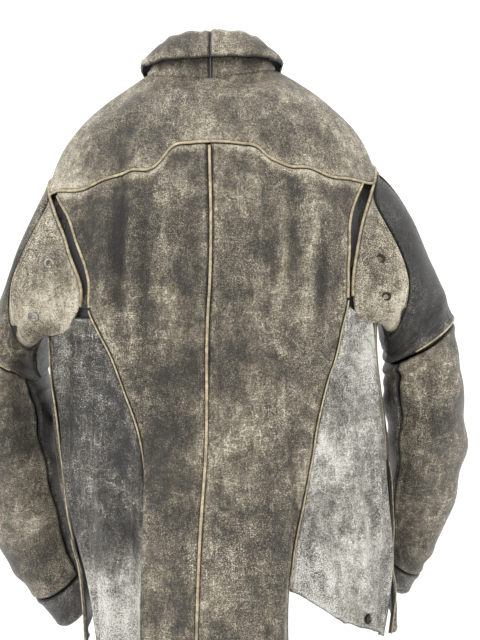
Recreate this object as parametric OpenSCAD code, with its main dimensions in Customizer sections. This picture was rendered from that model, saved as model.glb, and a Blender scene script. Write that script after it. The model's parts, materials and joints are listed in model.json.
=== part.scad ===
// Leather jacket hanging from its hanger loop, seen from behind along +Y.
// Millimetres. +Z is up, +X is the wearer's right, +Y is the wearer's front.
// The origin is the inside back of the neck, where the hanger loop hangs.
// A place on the body is an angle round it (0 centre back, 90 right side, 180 centre front)
// and a drop below the nape.

/* [Body] */
// Half of the width across the upper back
half_width = 254; // [250:1:258]
// Length of the back from the nape to the hem
back_length = 815; // [800:1:830]
// How much lower the left side hangs, as a slope
side_slope = 0.04; // [0.03:0.005:0.05]
/* [Leather] */
// Thickness of the leather
leather = 2; // [1.6:0.1:2.2]
// Thickness of the lining cloth
cloth = 1; // [0.8:0.1:1.2]
// Width of a seam's raised piping
piping_width = 3.6; // [3:0.1:4.2]
/* [Fastenings] */
// Distance between zip teeth
tooth_pitch = 6; // [5:1:8]
// Outside radius of a vent eyelet
eyelet_radius = 7; // [6:0.5:8]
// Radius of a vent snap
snap_radius = 7; // [6:0.5:8]

/* [Hidden] */
mid_depth = 52;
roundness = 0.85;
seam_gap = 0.5;
yoke_clearance = 2;
lining_gap = 1.2;
facing_gap = 2;
sleeve_lining_gap = 4;
front_start = 190;
front_hinge = 125;
front_edge = 177;
tape_edge = 179.3;
teeth_angle = 179.25;
zip_top = 70;
zip_bottom = 775;
front_length = back_length - 20;
yoke_front_drop = 200;
eyelet_hole = 4;
eyelet_bore = 2.9;
barrel_wall = 0.8;
flange = 1.2;
flange_lift = 2.3;
tooth_width = 3.4;
tooth_height = 3;
slider_length = 14;
pull_out = 2.9;
pull_up = 11;
// Degrees by which the right armhole's lower back stands clear of the pleat
pleat_clearance = 3.4;
loop_radius = 57;

// Body outline: drop, value
body_half = [[-30, 90], [0, 138], [35, 182], [80, 220], [130, half_width - 11], [190, half_width],
    [400, half_width - 9], [540, half_width - 6], [700, half_width - 18], [840, half_width - 26]];
body_centre = [[-30, 0], [190, 3], [400, 4], [540, 17], [700, 36], [840, 46]];
back_depth = [[-30, 50], [0, 58], [35, 78], [80, 95], [130, 106], [190, 112], [350, 118],
    [540, 126], [700, 134], [840, 140]];
front_depth = [[-30, 60], [0, 72], [35, 92], [80, 108], [130, 118], [190, 120], [230, 120], [840, 120]];

// Seams on the body
neck_line = [[0, 0], [60, -20], [90, -27], [120, -16], [150, 15], [180, 48]];
yoke_seam = [[-90, 122], [-80, 132], [-70, 153], [-57, 155], [-40, 159], [-31, 149], [-22, 141],
    [-13, 134], [-9, 111], [-4, 107], [8, 111], [12, 115], [16, 131], [22, 142], [30, 146],
    [37, 156], [46, 158], [70, 153], [80, 132], [90, 122]];
back_seam = [[100, 0], [320, 0], [512, -2], [700, -8], [840, -11]];
left_back_edge = [[150, 62], [200, 47], [236, 42], [284, 37], [330, 37], [350, 34], [388, 29],
    [420, 26], [480, 21], [530, 19.6], [620, 22.5], [700, 25.2], [840, 26.8]];
right_back_edge = [[150, 59], [200, 47], [268, 45], [330, 45.5], [360, 43.5], [406, 40], [430, 36],
    [482, 30], [535, 26], [590, 21.5], [640, 17.5], [700, 14.5], [840, 12.7]];
left_side_edge = [[322, 44], [340, 48], [350, 62], [360, 66.5], [364, 67], [368, 67], [460, 62],
    [560, 61], [650, 59], [840, 57]];
right_side_edge = [[322, 48.5], [340, 51], [350, 64], [360, 67.5], [364, 68], [368, 68.3], [430, 72],
    [520, 70], [630, 68], [840, 58]];
// The front edge of each side vent leaves the back edge below the side seam
left_vent_edge = [[358, 67.8], [368, 67.7], [460, 62.8], [560, 61.8], [640, 61.2], [700, 66], [840, 66]];
right_vent_edge = [[358, 68.8], [368, 69.1], [430, 72.8], [520, 71.6], [560, 74], [610, 79], [660, 77], [740, 67],
    [840, 62]];
arm_front_edge = [[200, 115.5], [240, 115.5], [280, 113], [312, 107], [336, 97], [350, 82],
    [358, 72]];
front_yoke_low = [[90, 122], [100, 132], [108, 152], [114, 190], [120, 200], [121, 200], [180, 200]];

left_side_hem = [[10, 798], [60, 800]];
right_side_hem = [[10, 694], [15, 702], [26, 731], [39, 760], [48, 771], [60, 796]];

// Armhole, round the sleeve: angle round the sleeve, angle round the body, drop
armhole_angle = [[-20, 44], [0, 51], [45, 70], [90, 90], [135, 107], [180, 115], [225, 107],
    [270, 80], [315, 50], [340, 44], [360, 51], [405, 70]];
armhole_drop = [[-20, 295], [0, 240], [45, 160], [90, 122], [135, 156], [180, 235], [225, 312],
    [270, 352], [315, 346], [340, 295], [360, 240], [405, 160]];

// Sleeve rings: position along the sleeve, then a value
elbow = 0.4;
cuff_start = 0.94;
right_outer_x = [[0, 244], [0.12, 286], [0.25, 326], [0.4, 358], [0.5, 376], [0.64, 389],
    [0.77, 379], [0.9, 352], [1, 327]];
right_outer_z = [[0, -118], [0.12, -170], [0.25, -258], [0.4, -343], [0.5, -420], [0.64, -516],
    [0.77, -608], [0.9, -715], [1, -785]];
right_inner_x = [[0, 262], [0.12, 262], [0.25, 262], [0.4, 266], [0.5, 270], [0.64, 276],
    [0.77, 280], [0.9, 276], [1, 262]];
right_inner_z = [[0, -345], [0.12, -366], [0.25, -385], [0.4, -412], [0.5, -444], [0.64, -512],
    [0.77, -590], [0.9, -690], [1, -752]];
right_y = [[0, 48], [0.12, 48], [0.25, 48], [0.4, 50], [0.5, 52], [0.64, 62], [0.77, 84],
    [0.9, 118], [1, 142]];
right_depth = [[0, 84], [0.12, 82], [0.25, 78], [0.4, 74], [0.5, 68], [0.64, 62], [0.77, 58],
    [0.9, 52], [1, 48]];
left_outer_x = [[0, -244], [0.12, -262], [0.25, -290], [0.4, -325], [0.5, -343], [0.64, -356],
    [0.77, -353], [0.9, -318], [1, -262]];
left_outer_z = [[0, -140], [0.12, -200], [0.25, -286], [0.4, -376], [0.5, -448], [0.64, -540],
    [0.77, -640], [0.9, -748], [1, -835]];
left_inner_x = [[0, -256], [0.12, -256], [0.25, -254], [0.4, -249], [0.5, -244], [0.64, -239],
    [0.77, -233], [0.9, -223], [1, -198]];
left_inner_z = [[0, -366], [0.12, -384], [0.25, -402], [0.4, -434], [0.5, -470], [0.64, -540],
    [0.77, -622], [0.9, -716], [1, -803]];
left_y = [[0, 46], [0.12, 42], [0.25, 38], [0.4, 42], [0.5, 48], [0.64, 58], [0.77, 84],
    [0.9, 118], [1, 140]];
left_depth = [[0, 84], [0.12, 84], [0.25, 86], [0.4, 80], [0.5, 74], [0.64, 66], [0.77, 60],
    [0.9, 54], [1, 49]];

// Collar: angle round the neck, height
fold_height = [[0, 64], [30, 63], [60, 55], [90, 44], [120, 24], [150, -8], [180, -36]];
leaf_height = [[0, 24], [45, 28], [90, 28], [120, 8], [150, -38], [172, -70], [180, -72]];

// ---- Curves ----
function clamp(x, low, high) = min(max(x, low), high);
function smooth(low, high, x) =
    let (t = clamp((x - low) / (high - low), 0, 1)) t * t * (3 - 2 * t);
function span_at(tab, x, i = 0) =
    (i >= len(tab) - 2 || x < tab[i + 1][0]) ? i : span_at(tab, x, i + 1);
function rise(tab, i) = (tab[i + 1][1] - tab[i][1]) / (tab[i + 1][0] - tab[i][0]);
function slope_at(tab, i) =
    i == 0 ? rise(tab, 0)
    : i == len(tab) - 1 ? rise(tab, i - 1)
    : let (a = tab[i][0] - tab[i - 1][0], b = tab[i + 1][0] - tab[i][0])
      (rise(tab, i) * a + rise(tab, i - 1) * b) / (a + b);
// A smooth curve through a table's points
function curve(tab, x) =
    let (q = clamp(x, tab[0][0], tab[len(tab) - 1][0]), i = span_at(tab, q),
         w = tab[i + 1][0] - tab[i][0], t = (q - tab[i][0]) / w)
    (2 * t * t * t - 3 * t * t + 1) * tab[i][1] + (t * t * t - 2 * t * t + t) * w * slope_at(tab, i)
    + (3 * t * t - 2 * t * t * t) * tab[i + 1][1] + (t * t * t - t * t) * w * slope_at(tab, i + 1);
function mix(a, b, t) = a + (b - a) * t;
function unit(v) = v / norm(v);
function bend(v) = sign(v) * pow(abs(v), roundness);

// ---- Body surface ----
function front_side(u, h) = u > 0 ? 257 + (h - front_start) * 0.025 : -251 + (h - front_start) * 0.06;
function body_base(u, h) =
    let (hf = max(h, front_start), k = smooth(88, 118, abs(u)) * smooth(150, 195, h),
         xc = curve(body_centre, h), a = curve(body_half, h) * (u > 0 ? 1 : -1),
         side = mix(xc + a, front_side(u, hf), k),
         mid = mix(xc, 3 + (hf - front_start) * 0.0425, k),
         deep = cos(u) > 0 ? curve(back_depth, h) : curve(front_depth, h),
         x = mid + (side - mid) * pow(abs(sin(u)), roundness))
    [x, mid_depth - bend(cos(u)) * deep, side_slope * x - h];
// The lower back stands out as a flat-topped column, with a shallow hollow on each side of it
function fold_centre(h) = -7 * smooth(520, 760, h);
function back_fold(u, h) =
    let (v = abs(u - fold_centre(h)))
    smooth(430, 620, h) * (24 * (1 - smooth(16.5, 19.5, v)) - 8 * exp(-pow((v - 27) / 8, 2)));
// lift 0 leaves the column out
function body(u, h, d = 0, lift = 1) =
    let (across = body_base(u + 0.5, h) - body_base(u - 0.5, h),
         down = body_base(u, h + 2) - body_base(u, h - 2))
    body_base(u, h) + unit(cross(down, across)) * (d + lift * back_fold(u, h));

// ---- Sleeve surface ----
function sleeve_ring(side, phi, k, d) =
    let (right = side > 0,
         outer = right ? [curve(right_outer_x, k), 0, curve(right_outer_z, k)]
             : [curve(left_outer_x, k), 0, curve(left_outer_z, k)],
         inner = right ? [curve(right_inner_x, k), 0, curve(right_inner_z, k)]
             : [curve(left_inner_x, k), 0, curve(left_inner_z, k)],
         y = curve(right ? right_y : left_y, k), deep = curve(right ? right_depth : left_depth, k),
         half = norm(outer - inner) / 2, out = unit(outer - inner), lean = 0.35 * smooth(0.5, 0.9, k),
         reach = (side > 0 ? sin(phi) : -sin(phi)) * (half + d))
    (outer + inner) / 2 + [0, y, 0] + out * reach - [0, 1, lean] * cos(phi) * (deep + d);
function armhole(side, phi, d) =
    let (w = (side * phi % 360 + 360) % 360, past = (w + 180) % 360 - 160,
         turn = side > 0 ? pleat_clearance * exp(-pow(past / 30, 2)) : 0,
         p = body(side * (curve(armhole_angle, w) + turn), curve(armhole_drop, w), 1.2),
         c = [side * 246, mid_depth, -240])
    p + unit(p - c) * (d - 0.6);
// phi is 0 at the back, 90 towards +X, 180 at the front. k is 0 at the armhole, 1 at the cuff.
function sleeve(side, phi, k, d = 0) =
    mix(armhole(side, phi, d), sleeve_ring(side, phi, k, d), smooth(0, 0.16, k));

// ---- Collar ----
function neck_at(u) = body(u, curve(neck_line, abs(u)), -0.5);
function fold_at(u) =
    [95 * bend(sin(u)), mid_depth - (cos(u) > 0 ? 55 : 88) * bend(cos(u)),
     curve(fold_height, abs(u)) + side_slope * 95 * bend(sin(u))];
function leaf_edge(u) =
    [112 * bend(sin(u)), mid_depth - (cos(u) > 0 ? 66 : 118) * bend(cos(u)),
     curve(leaf_height, abs(u)) + side_slope * 112 * bend(sin(u))];

// ---- Solids ----
// A closed sheet. f(s, t, d) gives a point: s runs left to right and t runs down, both 0 to 1,
// as seen from outside; d is the height above the outer face.
module sheet(f, n, m, thick) {
    outer = [for (j = [0:m]) for (i = [0:n]) f(i / n, j / m, 0)];
    inner = [for (j = [0:m]) for (i = [0:n]) f(i / n, j / m, -thick)];
    k = (n + 1) * (m + 1);
    at = function (i, j) j * (n + 1) + i;
    rim = concat([for (i = [0:n - 1]) [at(i, 0), at(i + 1, 0)]],
        [for (j = [0:m - 1]) [at(n, j), at(n, j + 1)]],
        [for (i = [n:-1:1]) [at(i, m), at(i - 1, m)]],
        [for (j = [m:-1:1]) [at(0, j), at(0, j - 1)]]);
    faces = concat(
        [for (j = [0:m - 1]) for (i = [0:n - 1]) [at(i, j), at(i + 1, j), at(i + 1, j + 1)]],
        [for (j = [0:m - 1]) for (i = [0:n - 1]) [at(i, j), at(i + 1, j + 1), at(i, j + 1)]],
        [for (j = [0:m - 1]) for (i = [0:n - 1]) [k + at(i, j), k + at(i + 1, j + 1), k + at(i + 1, j)]],
        [for (j = [0:m - 1]) for (i = [0:n - 1]) [k + at(i, j), k + at(i, j + 1), k + at(i + 1, j + 1)]],
        [for (e = rim) [e[1], e[0], k + e[0]]],
        [for (e = rim) [e[1], k + e[0], k + e[1]]]);
    polyhedron(points = concat(outer, inner), faces = faces, convexity = 6);
}

// A piece of the body between two angle curves and two drops
module body_sheet(from, to, top, bottom, n, m, thick, lift = 0) {
    f = function (s, t, d)
        let (h0 = mix(top(mix(from(200), to(200), s)), bottom(30), t), u0 = mix(from(h0), to(h0), s),
             h1 = mix(top(u0), bottom(abs(u0)), t), u1 = mix(from(h1), to(h1), s),
             h2 = mix(top(u1), bottom(abs(u1)), t))
        body(mix(from(h2), to(h2), s), h2, d + lift);
    sheet(f, n, m, thick);
}

// A raised bead that follows path(t), with out(t) its outward direction
module bead(path, steps, width, height) {
    sides = 6;
    step = 1 / steps;
    ring = function (t)
        let (p = path(t), q = path(min(t + 0.01, 1.005)), r = path(t - 0.01), along = unit(q - r),
             up = unit(path(t, 5) - p), across = unit(cross(along, up)))
        [for (i = [0:sides - 1]) p + across * width / 2 * cos(i * 60) + up * height / 2 * (1 + sin(i * 60))];
    points = [for (j = [0:steps]) each ring(j * step)];
    last = steps * sides;
    faces = concat(
        [for (j = [0:steps - 1]) for (i = [0:sides - 1])
            [j * sides + i, j * sides + (i + 1) % sides, (j + 1) * sides + (i + 1) % sides]],
        [for (j = [0:steps - 1]) for (i = [0:sides - 1])
            [j * sides + i, (j + 1) * sides + (i + 1) % sides, (j + 1) * sides + i]],
        [[for (i = [sides - 1:-1:0]) i]],
        [[for (i = [0:sides - 1]) last + i]]);
    polyhedron(points = points, faces = faces, convexity = 4);
}

// ---- Body pieces ----
module back_yoke() {
    f = function (s, t, d)
        let (u = mix(-89.7, 89.7, s))
        body(u, mix(curve(neck_line, abs(u)) + 1, curve(yoke_seam, u) - seam_gap, t), d);
    color("#8c8378") sheet(f, 60, 5, leather);
}

module back_panel(side) {
    centre = function (h) curve(back_seam, h) + side * 0.12;
    edge = function (h) side * curve(side > 0 ? right_back_edge : left_back_edge, h);
    top = function (u) curve(yoke_seam, u) + yoke_clearance;
    low = function (u) back_length;
    from = side > 0 ? centre : edge;
    to = side > 0 ? edge : centre;
    color("#5d564e") body_sheet(from, to, top, low, 20, 20, leather);
}

// Outer edge of the cloth behind a pleat: drop, angle
pleat_edge = [[150, 71], [200, 60], [240, 50], [270, 46.5], [300, 43], [345, 47]];
module action_pleat(side) {
    inner = function (h) side * (curve(side > 0 ? right_back_edge : left_back_edge, h) - 4);
    outer = function (h) side * curve(pleat_edge, h);
    top = function (u) 160;
    low = function (u) 318;
    from = side > 0 ? inner : outer;
    to = side > 0 ? outer : inner;
    color("#2c2a28") body_sheet(from, to, top, low, 3, 9, 1.5, -4);
}

module side_back_panel(side) {
    inner = function (h) side * (curve(side > 0 ? right_back_edge : left_back_edge, h) + 0.15);
    outer = function (h) side * curve(side > 0 ? right_side_edge : left_side_edge, h);
    top = function (u) 334;
    low = function (u) curve(side > 0 ? right_side_hem : left_side_hem, u);
    from = side > 0 ? inner : outer;
    to = side > 0 ? outer : inner;
    color("#6d665c") body_sheet(from, to, top, low, 7, 18, leather);
}

module front_yoke(side) {
    f = function (s, t, d)
        let (u = side > 0 ? mix(90.2, front_edge, s) : mix(-front_edge, -90.2, s),
             low = curve(front_yoke_low, abs(u)))
        body(u, mix(curve(neck_line, abs(u)) + 1, low - seam_gap, t), d);
    color("#857c70") sheet(f, 12, 6, leather);
}

module front_side_panel(side) {
    outer = function (h)
        side * (h < 358 ? curve(arm_front_edge, h)
            : curve(side > 0 ? right_vent_edge : left_vent_edge, h));
    inner = function (h) side * (front_hinge - 0.4);
    top = function (u) yoke_front_drop + seam_gap;
    low = function (u) front_length;
    from = side > 0 ? outer : inner;
    to = side > 0 ? inner : outer;
    color("#4c4842") body_sheet(from, to, top, low, 6, 20, leather);
}

module front_panel(side) {
    outer = function (h) side * (front_hinge + 0.4);
    inner = function (h) side * front_edge;
    top = function (u) yoke_front_drop + 1.5;
    low = function (u) front_length;
    from = side > 0 ? outer : inner;
    to = side > 0 ? inner : outer;
    color("#5a544c") body_sheet(from, to, top, low, 7, 14, leather);
}

// ---- Collar pieces ----
module collar_leaf(side) {
    f = function (s, t, d)
        let (u = side > 0 ? mix(0.3, 172, s) : mix(-172, -0.3, s), a = fold_at(u), b = leaf_edge(u),
             away = unit([sin(u), -cos(u), 0.35]))
        mix(a, b, t) + away * (3 * sin(180 * t) + d + 2) + [0, 0, 3 * (1 - t)];
    color("#6f675c") sheet(f, 14, 5, 3);
}

module collar_stand(side) {
    f = function (s, t, d)
        let (u = side > 0 ? mix(0.3, 174, s) : mix(-174, -0.3, s), a = fold_at(u), b = neck_at(u),
             away = unit([sin(u), -cos(u), 0]))
        mix(a, b, t) + away * (d - 2.5 + 2.4 * t) + [0, 0, 0.8];
    color("#4a453f") sheet(f, 14, 3, 2);
}

module neck_facing() {
    f = function (s, t, d)
        let (u = mix(-58, 58, s))
        body(u, mix(curve(neck_line, abs(u)) + 3, 62, t), d - leather - facing_gap);
    color("#3b3632") sheet(f, 12, 3, 1.2);
}

module hanger_loop() {
    color("#2b2825") translate([0, 12.5 - loop_radius, -11]) linear_extrude(8) intersection() {
        difference() {
            circle(loop_radius, $fn = 96);
            circle(loop_radius - 1.5, $fn = 96);
        }
        translate([-35, loop_radius - 12]) square([70, 20]);
    }
}

// ---- Sleeve pieces ----
// A piece of a sleeve between two angles (as on the right sleeve) and two places along it
module sleeve_sheet(side, from, to, k0, k1, n, m, thick, lift = 0) {
    f = function (s, t, d)
        let (a = side > 0 ? mix(from, to, s) : -mix(to, from, s))
        sleeve(side, a, mix(k0(a), k1(a), t), d + lift);
    sheet(f, n, m, thick);
}

start_edge = function (a) 0;
elbow_above = function (a) elbow - 0.004;
elbow_below = function (a) elbow + 0.004;
cuff_above = function (a) cuff_start - 0.002;

// The gusset's outer edge, as a place along the sleeve: angle on the right sleeve, place
gusset_edge = [[-82, 0.02], [-70, 0.13], [-55, 0.19], [-35, 0.2], [-15, 0.17], [5, 0.1], [22, 0.012]];
module underarm_gusset(side) {
    f = function (s, t, d)
        let (a = side > 0 ? mix(-82, 22, s) : -mix(22, -82, s), k1 = curve(gusset_edge, side * a))
        sleeve(side, a, mix(0, k1 - 0.004, t), d);
    color("#a1937f") difference() {
        sheet(f, 12, 4, leather);
        for (vent = vents(side)) at_vent(side, vent) cylinder(r = eyelet_hole, h = 16, center = true, $fn = 24);
    }
}

// The upper and the lower vent of a gusset: angle round the sleeve, place along it
function vents(side) = side > 0 ? [[-8, 0.08], [-30, 0.1]] : [[-4, 0.07], [-34, 0.11]];
module at_vent(side, vent) {
    p = sleeve(side, side * vent[0], vent[1], 0.5);
    n = unit(sleeve(side, side * vent[0], vent[1], 6) - p);
    translate(p) rotate([0, acos(n.z), atan2(n.y, n.x)]) children();
}

// A flange over the leather and a barrel through it
module gusset_eyelets(side) {
    color("#b9b6ae") for (vent = vents(side)) at_vent(side, vent) rotate_extrude($fn = 32) {
        translate([eyelet_bore, flange_lift]) square([eyelet_radius - eyelet_bore, flange]);
        translate([eyelet_bore, -leather - 1]) square([barrel_wall, leather + flange_lift + 1.5]);
    }
}

module sleeve_top(side) {
    f = function (s, t, d)
        let (a = side > 0 ? mix(-82, 150, s) : -mix(150, -82, s), q = side * a,
             k0 = q < 22 ? curve(gusset_edge, q) : 0)
        sleeve(side, a, mix(k0 + 0.001, elbow - 0.004, t), d);
    color("#4a4742") sheet(f, 22, 8, leather);
}

module sleeve_under(side) {
    color("#3a3835") sleeve_sheet(side, 150.6, 277.4, start_edge, elbow_above, 9, 8, leather);
}

module forearm_top(side) {
    color("#6b6459") sleeve_sheet(side, -60, 160, elbow_below, cuff_above, 16, 9, leather);
}

module forearm_under(side) {
    color("#45413b") sleeve_sheet(side, 160.8, 299.2, elbow_below, cuff_above, 9, 9, leather);
}

module cuff(side) {
    low = function (a) 1;
    high = function (a) cuff_start + 0.002;
    color("#3d3a36") sleeve_sheet(side, -140, 219, high, low, 22, 1, leather);
}

module sleeve_lining(side) {
    low = function (a) elbow - 0.012;
    high = function (a) 0.1;
    color("#1d1c1e") sleeve_sheet(side, -130, 229, high, low, 18, 6, cloth, -leather - sleeve_lining_gap);
}

module forearm_lining(side) {
    low = function (a) 0.97;
    high = function (a) elbow + 0.012;
    color("#1d1c1e") sleeve_sheet(side, -130, 229, high, low, 18, 8, cloth, -leather - sleeve_lining_gap);
}

module elbow_piping(side) {
    path = function (t, d = 0) sleeve(side, side * mix(-30, 88, t), elbow - 0.012, 0.5 + d);
    color("#cbbd9e") bead(path, 14, 2.8, 1.6);
}

// ---- Pipings ----
module yoke_piping() {
    path = function (t, d = 0) let (u = mix(-70, 70, t)) body(u, curve(yoke_seam, u), 0.8 + d);
    color("#cbbd9e") bead(path, 64, piping_width, 2.2);
}

module centre_back_piping() {
    path = function (t, d = 0) let (h = mix(112, back_length, t)) body(curve(back_seam, h), h, 0.6 + d);
    color("#cbbd9e") bead(path, 26, piping_width, 2.2);
}

module pleat_piping(side) {
    path = function (t, d = 0)
        let (h = mix(162, 322, t))
        body(side * (curve(side > 0 ? right_back_edge : left_back_edge, h) - 0.6), h, 0.6 + d);
    color("#cbbd9e") bead(path, 14, piping_width, 2.2);
}

module side_back_piping(side) {
    path = function (t, d = 0)
        let (h = mix(326, side > 0 ? 696 : 798, t))
        body(side * (curve(side > 0 ? right_back_edge : left_back_edge, h) + 0.3), h, 1.3 + d);
    color("#cbbd9e") bead(path, 26, 2.6, 1.8);
}

// ---- Zip ----
// Local frame of a zip edge: +Z up along the edge, +Y outwards, +X to the wearer's right
module on_zip(side) {
    low = body(side * teeth_angle, zip_bottom, 0);
    high = body(side * teeth_angle, 300, 0);
    run = unit(high - low);
    translate(low) rotate([0, asin(run.x), 0]) children();
}
function zip_reach(a, b, side) = norm(body(side * teeth_angle, a, 0) - body(side * teeth_angle, b, 0));

module zip_tape(side, top, bottom, rows = 2) {
    f = function (s, t, d)
        let (u = side > 0 ? mix(172, tape_edge, s) : mix(-tape_edge, -172, s))
        body(u, mix(top, bottom, t), d - leather - (rows > 2 ? 1.1 : 0.4));
    sheet(f, 2, rows, 0.8);
}

module tooth() {
    translate([-tooth_width / 2, -leather - 0.3, 0]) cube([tooth_width, 1.8, tooth_height]);
}

module tooth_row(side, from, to) {
    count = floor((to - from) / tooth_pitch);
    on_zip(side) {
        for (i = [0:count - 1]) translate([0, 0, from + i * tooth_pitch]) tooth();
        translate([-2.2, -leather - 0.3, -4]) cube([4.4, 2.4, 4]);
    }
}

module front_zip_tape(side) {
    color("#26241f") zip_tape(side, yoke_front_drop + 4, zip_bottom);
}

module zip_teeth(side) {
    color("#9a9486") tooth_row(side, 16, zip_reach(zip_bottom, yoke_front_drop + 10, side));
}

module upper_zip(side) {
    color("#26241f") zip_tape(side, zip_top, yoke_front_drop - 4, 8);
    color("#9a9486") for (i = [0:19])
        translate(body(side * teeth_angle, zip_top + 6 + i * tooth_pitch, 0.6)) tooth();
}

module zip_slider() {
    color("#a59f92") on_zip(-1) translate([0, 0, 2]) {
        translate([-4.5, -0.1, 0]) cube([9, 1.4, slider_length]);
        translate([-4.5, -leather - 3.2, 0]) cube([9, 1.4, slider_length]);
        translate([2.2, -leather - 3.2, 0]) cube([2.3, leather + 4, slider_length]);
        translate([-1.2, 1.3, 2]) cube([2.4, 3.4, 1.4]);
        translate([-1.2, 1.3, slider_length - 3.4]) cube([2.4, 3.4, 1.4]);
        translate([-1.2, 4.7, 2]) cube([2.4, 1, slider_length - 4]);
    }
}

module zip_pull() {
    color("#a59f92") on_zip(-1) translate([0, pull_out, pull_up]) rotate([90, 0, 0]) difference() {
        translate([-3.5, -40, -0.7]) cube([7, 41, 1.4]);
        translate([-2, -8, -1]) cube([4, 7, 2]);
        translate([0, -34, -1]) cylinder(r = 1.8, h = 2, $fn = 24);
    }
}

// ---- Vent snaps ----
module snap_at(u, h, lift) {
    p = body(u, h, lift);
    n = unit(body(u, h, lift + 5) - p);
    translate(p) rotate([0, acos(n.z), atan2(n.y, n.x)]) {
        cylinder(r = snap_radius, h = 1.2, $fn = 36);
        translate([0, 0, 1.2]) cylinder(r = snap_radius - 1.5, h = 0.8, $fn = 36);
    }
}

module vent_snap(side) {
    color("#3a3632") snap_at(side * 45, side > 0 ? 752 : 776, 1.7);
}

// ---- Linings ----
module back_lining() {
    f = function (s, t, d)
        let (u = mix(-86, 86, s), arm = smooth(40, 64, abs(u)),
             top = mix(70, 366, arm),
             low = mix(back_length - 45, curve(right_side_hem, max(u, 10)) - 30, smooth(4, 16, u)))
        body(u, mix(top, low, t), d - leather - lining_gap - 4 - 12 * smooth(400, 560, mix(top, low, t)), 0);
    color("#1d1c1e") sheet(f, 20, 14, cloth);
}

module front_lining(side) {
    outer = function (h) side * (front_hinge + 1.5);
    inner = function (h) side * 168;
    top = function (u) yoke_front_drop + 6;
    low = function (u) front_length - 35;
    from = side > 0 ? outer : inner;
    to = side > 0 ? inner : outer;
    color("#1d1c1e") body_sheet(from, to, top, low, 6, 10, cloth, -leather - lining_gap);
}

back_yoke();
back_panel(-1);  // left_back_panel
back_panel(1);  // right_back_panel
action_pleat(-1);  // left_action_pleat
action_pleat(1);  // right_action_pleat
side_back_panel(-1);  // left_side_back_panel
side_back_panel(1);  // right_side_back_panel
front_yoke(-1);  // left_front_yoke
front_yoke(1);  // right_front_yoke
front_side_panel(-1);  // left_front_side_panel
front_side_panel(1);  // right_front_side_panel
front_panel(-1);  // left_front_panel
front_panel(1);  // right_front_panel
collar_leaf(-1);  // collar_left_leaf
collar_leaf(1);  // collar_right_leaf
collar_stand(-1);  // collar_left_stand
collar_stand(1);  // collar_right_stand
neck_facing();
hanger_loop();
sleeve_top(-1);  // left_sleeve_top
sleeve_top(1);  // right_sleeve_top
sleeve_under(-1);  // left_sleeve_under
sleeve_under(1);  // right_sleeve_under
underarm_gusset(-1);  // left_underarm_gusset
underarm_gusset(1);  // right_underarm_gusset
forearm_top(-1);  // left_forearm_top
forearm_top(1);  // right_forearm_top
forearm_under(-1);  // left_forearm_under
forearm_under(1);  // right_forearm_under
cuff(-1);  // left_cuff
cuff(1);  // right_cuff
gusset_eyelets(-1);  // left_gusset_eyelets
gusset_eyelets(1);  // right_gusset_eyelets
yoke_piping();
centre_back_piping();
pleat_piping(-1);  // left_pleat_piping
pleat_piping(1);  // right_pleat_piping
side_back_piping(-1);  // left_side_back_piping
side_back_piping(1);  // right_side_back_piping
elbow_piping(-1);  // left_elbow_piping
elbow_piping(1);  // right_elbow_piping
front_zip_tape(-1);  // left_front_zip_tape
front_zip_tape(1);  // right_front_zip_tape
zip_teeth(-1);  // left_zip_teeth
zip_teeth(1);  // right_zip_teeth
upper_zip(-1);  // left_upper_zip
upper_zip(1);  // right_upper_zip
zip_slider();
zip_pull();
vent_snap(-1);  // left_vent_snap
vent_snap(1);  // right_vent_snap
back_lining();
front_lining(-1);  // left_front_lining
front_lining(1);  // right_front_lining
sleeve_lining(-1);  // left_sleeve_lining
sleeve_lining(1);  // right_sleeve_lining
forearm_lining(-1);  // left_forearm_lining
forearm_lining(1);  // right_forearm_lining
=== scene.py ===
import json
import math

import bpy
import numpy as np
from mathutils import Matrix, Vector


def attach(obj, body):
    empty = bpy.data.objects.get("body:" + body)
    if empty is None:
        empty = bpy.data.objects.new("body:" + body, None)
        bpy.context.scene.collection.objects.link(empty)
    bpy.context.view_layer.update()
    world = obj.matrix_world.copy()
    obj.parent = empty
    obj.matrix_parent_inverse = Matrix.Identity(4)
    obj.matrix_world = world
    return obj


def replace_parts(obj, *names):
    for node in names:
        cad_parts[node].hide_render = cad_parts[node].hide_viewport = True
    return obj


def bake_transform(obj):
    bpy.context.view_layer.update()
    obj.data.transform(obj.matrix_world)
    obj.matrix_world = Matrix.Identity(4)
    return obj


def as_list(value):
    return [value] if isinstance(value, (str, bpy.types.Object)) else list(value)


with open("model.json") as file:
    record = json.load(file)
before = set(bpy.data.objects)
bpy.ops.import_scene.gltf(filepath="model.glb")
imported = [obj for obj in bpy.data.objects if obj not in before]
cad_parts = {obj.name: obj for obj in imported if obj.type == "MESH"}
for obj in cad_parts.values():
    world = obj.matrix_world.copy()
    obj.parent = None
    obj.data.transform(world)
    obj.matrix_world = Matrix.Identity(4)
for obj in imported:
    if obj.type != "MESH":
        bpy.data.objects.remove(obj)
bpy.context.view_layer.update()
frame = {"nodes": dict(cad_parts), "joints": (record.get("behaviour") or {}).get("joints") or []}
rng = np.random.default_rng(7)
MM = 0.001

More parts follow.
